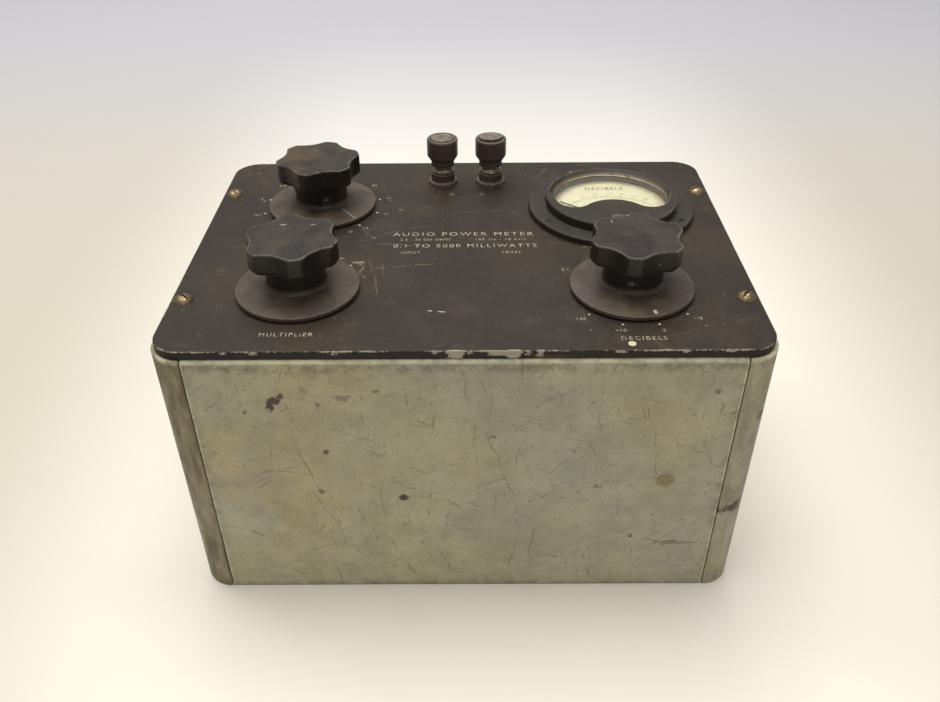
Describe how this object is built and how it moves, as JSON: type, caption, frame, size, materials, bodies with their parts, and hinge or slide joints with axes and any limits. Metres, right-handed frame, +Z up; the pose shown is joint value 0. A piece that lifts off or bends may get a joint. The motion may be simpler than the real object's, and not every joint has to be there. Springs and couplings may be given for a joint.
{
  "type": "audio output power meter",
  "caption": "Bench instrument in a sheet-metal case: dark top panel with fluted switch knobs on round skirts, a round pointer meter and two screw terminals.",
  "frame": {"origin": "centre of the underside of the case", "axes": "+X to the right along the long side, +Y to the back, +Z up out of the panel"},
  "size_m": [0.257, 0.183, 0.1665],
  "materials": {
    "case_paint": "worn grey-olive paint, finely scratched",
    "panel_paint": "dark crackle paint on aluminium",
    "screw_brass": "tarnished",
    "dark_screw": "blackened",
    "steel": "dull",
    "brass": "dull",
    "paxolin": "laminated paper board",
    "bakelite": "aged, half gloss",
    "bezel": "worn moulding",
    "nickel": "dull plate",
    "cap_disc": "grey filler",
    "glass": "clear, slightly dirty",
    "dial_card": "yellowed cream",
    "pointer": "blackened",
    "magnet": "dark",
    "copper": "enamelled wire",
    "laminations": "stacked edges",
    "winding_paper": "varnished paper",
    "resistor_body": "wound bobbins",
    "oxide_stack": "dull red"
  },
  "bodies": {
    "case": {"post_front_left": "case_paint", "post_front_right": "case_paint", "post_back_left": "case_paint", "post_back_right": "case_paint", "front_sheet": "case_paint", "back_sheet": "case_paint", "left_sheet": "case_paint", "right_sheet": "case_paint", "base_plate": "case_paint", "base_screws": "steel", "panel_bushes": "steel", "top_panel": "panel_paint", "panel_screws": "screw_brass", "switch_bushes": "brass", "bush_nuts": "brass", "switch_decks": "paxolin", "contact_studs": "brass", "terminal_bases": "bakelite", "terminal_studs": "brass", "terminal_insulators": "paxolin", "terminal_nuts": "brass", "meter_bezel": "bezel", "meter_glass": "glass", "meter_dial": "dial_card", "meter_case": "bakelite", "meter_screws": "dark_screw", "meter_magnet": "magnet", "meter_core": "steel", "meter_bridge": "brass", "meter_terminals": "brass", "transformer_core": "laminations", "transformer_winding": "winding_paper", "transformer_clamp": "steel", "resistor_board": "paxolin", "resistors": "resistor_body", "board_pillars": "brass", "rectifier": "oxide_stack", "link_wires": "nickel"},
    "impedance_spindle": {"impedance_shaft": "steel", "impedance_knob": "bakelite", "impedance_knob_screw": "steel", "impedance_wiper": "brass"},
    "multiplier_spindle": {"multiplier_shaft": "steel", "multiplier_knob": "bakelite", "multiplier_knob_screw": "steel", "multiplier_wiper": "brass"},
    "range_spindle": {"range_shaft": "steel", "range_knob": "bakelite", "range_knob_screw": "steel", "range_wiper": "brass"},
    "left_clamp": {"terminal_clamp_left": "nickel"},
    "left_cap": {"terminal_cap_left": "bakelite", "terminal_disc_left": "cap_disc"},
    "right_clamp": {"terminal_clamp_right": "nickel"},
    "right_cap": {"terminal_cap_right": "bakelite", "terminal_disc_right": "cap_disc"},
    "movement": {"meter_coil": "copper", "meter_pointer": "pointer", "meter_hairspring": "brass"},
    "zero_screw": {"zero_adjuster": "bakelite"}
  },
  "joints": [
    {"name": "impedance_turn", "type": "hinge", "parent": "case", "child": "impedance_spindle", "pos_m": [-0.073, 0.037, 0.14], "axis": [0, 0, 1], "range_deg": [-180, 90]},
    {"name": "multiplier_turn", "type": "hinge", "parent": "case", "child": "multiplier_spindle", "pos_m": [-0.073, -0.0437, 0.14], "axis": [0, 0, 1], "range_deg": [-30, 60]},
    {"name": "range_turn", "type": "hinge", "parent": "case", "child": "range_spindle", "pos_m": [0.073, -0.0437, 0.14], "axis": [0, 0, 1], "range_deg": [-60, 30]},
    {"name": "left_clamp_lift", "type": "slide", "parent": "case", "child": "left_clamp", "axis": [0, 0, 1], "range_m": [0, 0.0034]},
    {"name": "left_cap_turn", "type": "hinge", "parent": "left_clamp", "child": "left_cap", "pos_m": [-0.0121, 0.0655, 0.14], "axis": [0, 0, 1], "range_deg": [0, 1440]},
    {"name": "right_clamp_lift", "type": "slide", "parent": "case", "child": "right_clamp", "axis": [0, 0, 1], "range_m": [0, 0.0034]},
    {"name": "right_cap_turn", "type": "hinge", "parent": "right_clamp", "child": "right_cap", "pos_m": [0.0133, 0.0655, 0.14], "axis": [0, 0, 1], "range_deg": [0, 1440]},
    {"name": "pointer_swing", "type": "hinge", "parent": "case", "child": "movement", "pos_m": [0.0733, 0.014, 0.14], "axis": [0, 0, 1], "range_deg": [-100, 0]},
    {"name": "zero_turn", "type": "hinge", "parent": "case", "child": "zero_screw", "pos_m": [0.0733, 0.006, 0.14], "axis": [0, 0, 1], "range_deg": [-45, 45]}
  ],
  "couplings": [
    {"joint": "left_clamp_lift", "follows": "left_cap_turn", "m_per_rad": 0.00012892},
    {"joint": "right_clamp_lift", "follows": "right_cap_turn", "m_per_rad": 0.00012892}
  ]
}
